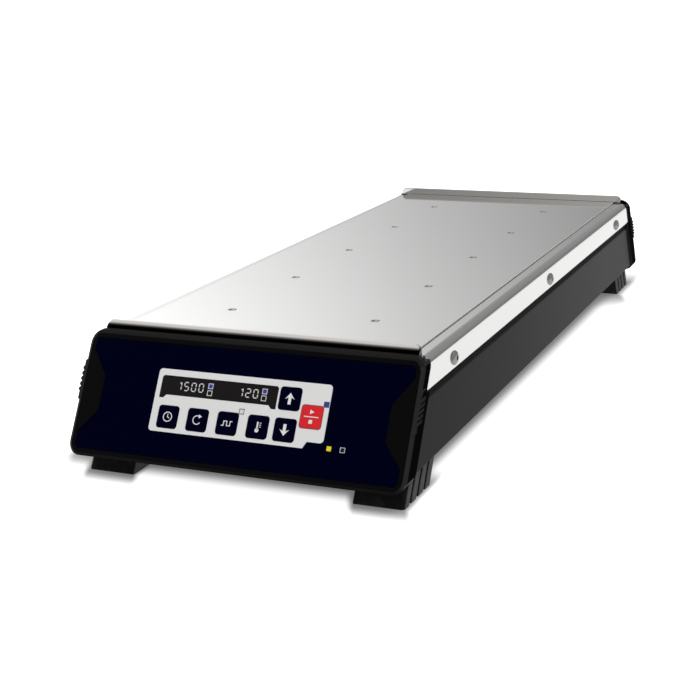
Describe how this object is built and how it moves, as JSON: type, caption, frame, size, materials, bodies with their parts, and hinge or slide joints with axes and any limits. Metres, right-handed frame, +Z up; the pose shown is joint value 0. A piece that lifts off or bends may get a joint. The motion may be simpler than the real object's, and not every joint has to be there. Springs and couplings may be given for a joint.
{
  "type": "hotplate stirrer",
  "caption": "Long low hotplate stirrer: steel work plate over driven magnets, leaning black end caps, a front keypad and display, grooved rubber feet.",
  "frame": {"origin": "on the bench, under the middle of the instrument (bottom centre of its box)", "axes": "+Z up, +Y from the keypad to the rear along the instrument, +X to the operator's right"},
  "size_m": [0.2, 0.5462, 0.0791],
  "materials": {
    "dark_painted_steel": "satin powder coat",
    "cover_steel": "fine brushed",
    "plate_steel": "fine brushed, near mirror",
    "black_moulding": "matte",
    "foot_rubber": "matte",
    "navy_film": "satin film",
    "grey_film": "satin film",
    "smoked_window": "glossy",
    "black_plastic": "satin",
    "blue_lamp": "glossy",
    "yellow_lamp": "glossy",
    "pale_lamp": "glossy, unlit",
    "clear_lamp": "glossy, unlit",
    "board_green": "satin",
    "navy_key": "satin film",
    "red_key": "satin film",
    "spreader_aluminium": "plain",
    "heater_silicone": "matte",
    "insulation": "matte fibre board",
    "probe_steel": "plain",
    "deck_steel": "zinc plated",
    "rotor_metal": "nickel plated",
    "screw_steel": "plain"
  },
  "bodies": {
    "chassis": {"base_housing": "dark_painted_steel", "top_cover": "cover_steel", "work_plate": "plate_steel", "front_end_cap": "black_moulding", "rear_end_cap": "black_moulding", "foot_front_left": "foot_rubber", "foot_front_right": "foot_rubber", "foot_rear_left": "foot_rubber", "foot_rear_right": "foot_rubber", "front_overlay": "navy_film", "keypad_panel": "grey_film", "display_window": "smoked_window", "display_module": "black_plastic", "lamp_run": "blue_lamp", "lamp_pulse": "pale_lamp", "lamp_heating": "yellow_lamp", "lamp_hot": "clear_lamp", "control_board": "board_green", "heat_spreader": "spreader_aluminium", "heater_mat": "heater_silicone", "insulation_board": "insulation", "temperature_probe": "probe_steel", "thermal_cutout": "black_plastic", "drive_deck": "deck_steel", "stator_board": "board_green", "power_supply_board": "board_green", "rear_panel": "dark_painted_steel", "mains_inlet": "black_plastic", "switch_body": "black_plastic", "fuse_holder": "black_plastic", "skirt_screw_right_1": "screw_steel", "skirt_screw_right_2": "screw_steel", "skirt_screw_right_3": "screw_steel", "skirt_screw_left_1": "screw_steel", "skirt_screw_left_2": "screw_steel", "skirt_screw_left_3": "screw_steel", "foot_screw_1": "screw_steel", "foot_screw_2": "screw_steel", "foot_screw_3": "screw_steel", "foot_screw_4": "screw_steel"},
    "key_timer": {"key_timer": "navy_key"},
    "key_speed": {"key_speed": "navy_key"},
    "key_pulse": {"key_pulse": "navy_key"},
    "key_heat": {"key_heat": "navy_key"},
    "key_down": {"key_down": "navy_key"},
    "key_up": {"key_up": "navy_key"},
    "key_start_stop": {"key_start_stop": "red_key"},
    "rotor_01": {"magnet_rotor_01": "rotor_metal"},
    "rotor_02": {"magnet_rotor_02": "rotor_metal"},
    "rotor_03": {"magnet_rotor_03": "rotor_metal"},
    "rotor_04": {"magnet_rotor_04": "rotor_metal"},
    "rotor_05": {"magnet_rotor_05": "rotor_metal"},
    "rotor_06": {"magnet_rotor_06": "rotor_metal"},
    "rotor_07": {"magnet_rotor_07": "rotor_metal"},
    "rotor_08": {"magnet_rotor_08": "rotor_metal"},
    "rotor_09": {"magnet_rotor_09": "rotor_metal"},
    "rotor_10": {"magnet_rotor_10": "rotor_metal"},
    "rocker": {"power_rocker": "black_plastic"},
    "fuse_cap": {"fuse_cap": "black_plastic"}
  },
  "joints": [
    {"name": "key_timer_press", "type": "slide", "parent": "chassis", "child": "key_timer", "axis": [0, 0.866, -0.5], "range_m": [0, 0.0005], "stiffness_N_per_m": 1200},
    {"name": "key_speed_press", "type": "slide", "parent": "chassis", "child": "key_speed", "axis": [0, 0.866, -0.5], "range_m": [0, 0.0005], "stiffness_N_per_m": 1200},
    {"name": "key_pulse_press", "type": "slide", "parent": "chassis", "child": "key_pulse", "axis": [0, 0.866, -0.5], "range_m": [0, 0.0005], "stiffness_N_per_m": 1200},
    {"name": "key_heat_press", "type": "slide", "parent": "chassis", "child": "key_heat", "axis": [0, 0.866, -0.5], "range_m": [0, 0.0005], "stiffness_N_per_m": 1200},
    {"name": "key_down_press", "type": "slide", "parent": "chassis", "child": "key_down", "axis": [0, 0.866, -0.5], "range_m": [0, 0.0005], "stiffness_N_per_m": 1200},
    {"name": "key_up_press", "type": "slide", "parent": "chassis", "child": "key_up", "axis": [0, 0.866, -0.5], "range_m": [0, 0.0005], "stiffness_N_per_m": 1200},
    {"name": "key_start_stop_press", "type": "slide", "parent": "chassis", "child": "key_start_stop", "axis": [0, 0.866, -0.5], "range_m": [0, 0.0005], "stiffness_N_per_m": 1200},
    {"name": "rotor_01_spin", "type": "hinge", "parent": "chassis", "child": "rotor_01", "pos_m": [-0.045, -0.1742, 0.05], "axis": [0, 0, 1], "continuous": true},
    {"name": "rotor_02_spin", "type": "hinge", "parent": "chassis", "child": "rotor_02", "pos_m": [0.045, -0.1742, 0.05], "axis": [0, 0, 1], "continuous": true},
    {"name": "rotor_03_spin", "type": "hinge", "parent": "chassis", "child": "rotor_03", "pos_m": [-0.045, -0.0871, 0.05], "axis": [0, 0, 1], "continuous": true},
    {"name": "rotor_04_spin", "type": "hinge", "parent": "chassis", "child": "rotor_04", "pos_m": [0.045, -0.0871, 0.05], "axis": [0, 0, 1], "continuous": true},
    {"name": "rotor_05_spin", "type": "hinge", "parent": "chassis", "child": "rotor_05", "pos_m": [-0.045, 0, 0.05], "axis": [0, 0, 1], "continuous": true},
    {"name": "rotor_06_spin", "type": "hinge", "parent": "chassis", "child": "rotor_06", "pos_m": [0.045, 0, 0.05], "axis": [0, 0, 1], "continuous": true},
    {"name": "rotor_07_spin", "type": "hinge", "parent": "chassis", "child": "rotor_07", "pos_m": [-0.045, 0.0871, 0.05], "axis": [0, 0, 1], "continuous": true},
    {"name": "rotor_08_spin", "type": "hinge", "parent": "chassis", "child": "rotor_08", "pos_m": [0.045, 0.0871, 0.05], "axis": [0, 0, 1], "continuous": true},
    {"name": "rotor_09_spin", "type": "hinge", "parent": "chassis", "child": "rotor_09", "pos_m": [-0.045, 0.1742, 0.05], "axis": [0, 0, 1], "continuous": true},
    {"name": "rotor_10_spin", "type": "hinge", "parent": "chassis", "child": "rotor_10", "pos_m": [0.045, 0.1742, 0.05], "axis": [0, 0, 1], "continuous": true},
    {"name": "power_rocker_tilt", "type": "hinge", "parent": "chassis", "child": "rocker", "pos_m": [0.031, 0.2322, 0.0442], "axis": [1, 0, 0], "range_deg": [-16, 0]},
    {"name": "fuse_cap_turn", "type": "hinge", "parent": "chassis", "child": "fuse_cap", "pos_m": [0.005, 0.2322, 0.0442], "axis": [0, 1, 0], "range_deg": [0, 60]}
  ],
  "couplings": [
    {"joint": "rotor_02_spin", "follows": "rotor_01_spin", "ratio": 1},
    {"joint": "rotor_03_spin", "follows": "rotor_01_spin", "ratio": 1},
    {"joint": "rotor_04_spin", "follows": "rotor_01_spin", "ratio": 1},
    {"joint": "rotor_05_spin", "follows": "rotor_01_spin", "ratio": 1},
    {"joint": "rotor_06_spin", "follows": "rotor_01_spin", "ratio": 1},
    {"joint": "rotor_07_spin", "follows": "rotor_01_spin", "ratio": 1},
    {"joint": "rotor_08_spin", "follows": "rotor_01_spin", "ratio": 1},
    {"joint": "rotor_09_spin", "follows": "rotor_01_spin", "ratio": 1},
    {"joint": "rotor_10_spin", "follows": "rotor_01_spin", "ratio": 1}
  ]
}
